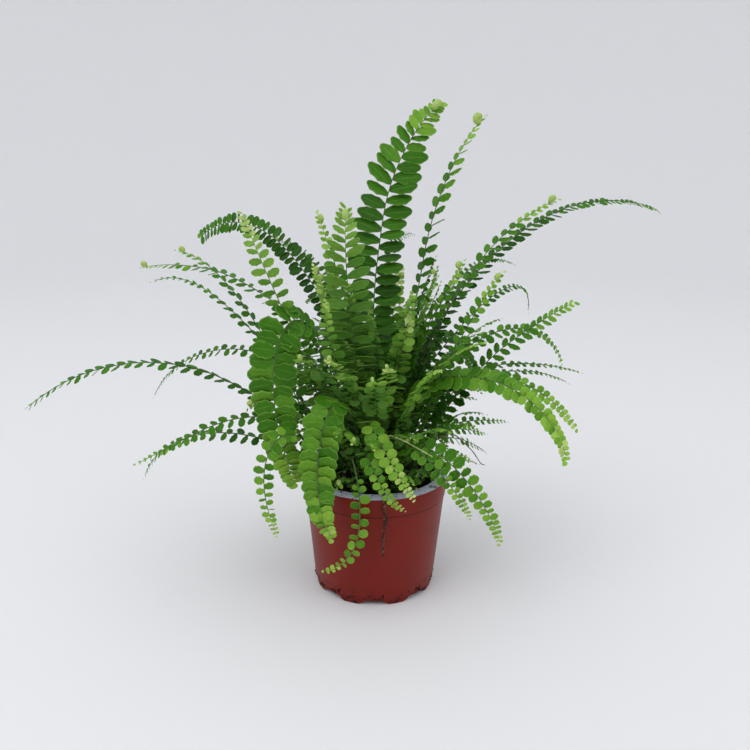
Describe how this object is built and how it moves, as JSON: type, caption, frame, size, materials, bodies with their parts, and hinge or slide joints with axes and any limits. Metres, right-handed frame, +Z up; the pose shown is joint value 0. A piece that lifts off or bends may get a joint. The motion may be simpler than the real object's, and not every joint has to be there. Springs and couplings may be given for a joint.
{
  "type": "potted fern",
  "caption": "Small sword fern with arching fronds of rounded leaflets, growing in a round tapered nursery pot with a lip, drainage holes and scalloped feet.",
  "frame": {"origin": "on the pot's axis, at the flat centre pad that the pot stands on", "axes": "+Z up along the pot's axis; the front of the plant faces -Y and +X is to its right"},
  "size_m": [0.3479, 0.2002, 0.2798],
  "materials": {
    "pot_plastic": "satin",
    "potting_mix": "matte",
    "rhizome": "matte",
    "leaf_old": "satin",
    "leaf_mid": "satin",
    "leaf_young": "satin",
    "root": "matte"
  },
  "bodies": {
    "root": {"nursery_pot": "pot_plastic", "potting_mix": "potting_mix", "crown": "rhizome", "frond_tall_centre": "leaf_old", "frond_tall_right": "leaf_mid", "frond_upright_left": "leaf_old", "frond_bud_left": "leaf_mid", "frond_dark_arch": "leaf_old", "frond_pale_left": "leaf_mid", "frond_far_left_1": "leaf_mid", "frond_far_left_2": "leaf_mid", "frond_far_left_3": "leaf_mid", "frond_long_left": "leaf_mid", "frond_droop_left": "leaf_mid", "frond_low_left_1": "leaf_mid", "frond_low_left_2": "leaf_mid", "frond_broad_left": "leaf_old", "frond_front_left": "leaf_old", "frond_hang_left": "leaf_young", "frond_hang_pot": "leaf_young", "frond_front_pale": "leaf_mid", "frond_front_small": "leaf_young", "frond_front_right": "leaf_mid", "frond_front_right_2": "leaf_young", "frond_right_arch_1": "leaf_mid", "frond_right_arch_2": "leaf_mid", "frond_right_up_1": "leaf_mid", "frond_right_arch_3": "leaf_mid", "frond_right_thin_1": "leaf_young", "frond_right_thin_2": "leaf_young", "frond_far_right": "leaf_mid", "frond_right_bud_1": "leaf_mid", "frond_right_bud_2": "leaf_mid", "frond_right_bud_3": "leaf_mid", "frond_back_right_1": "leaf_mid", "frond_back_right_2": "leaf_mid", "frond_back_centre": "leaf_mid", "frond_low_right_1": "leaf_young", "frond_low_right_2": "leaf_young", "frond_low_right_3": "leaf_young", "frond_thin_back_left": "leaf_young", "frond_front_mid": "leaf_mid", "frond_bud_front": "leaf_mid", "frond_back_01": "leaf_old", "frond_back_02": "leaf_mid", "frond_back_03": "leaf_mid", "frond_back_04": "leaf_old", "frond_back_05": "leaf_mid", "frond_back_06": "leaf_mid", "frond_back_07": "leaf_old", "frond_back_08": "leaf_mid", "frond_back_09": "leaf_mid", "frond_back_10": "leaf_old", "frond_back_11": "leaf_mid", "frond_back_12": "leaf_mid", "frond_back_13": "leaf_old", "frond_back_14": "leaf_mid", "hanging_root": "root", "dry_stipe": "root", "runner": "root"}
  },
  "joints": []
}
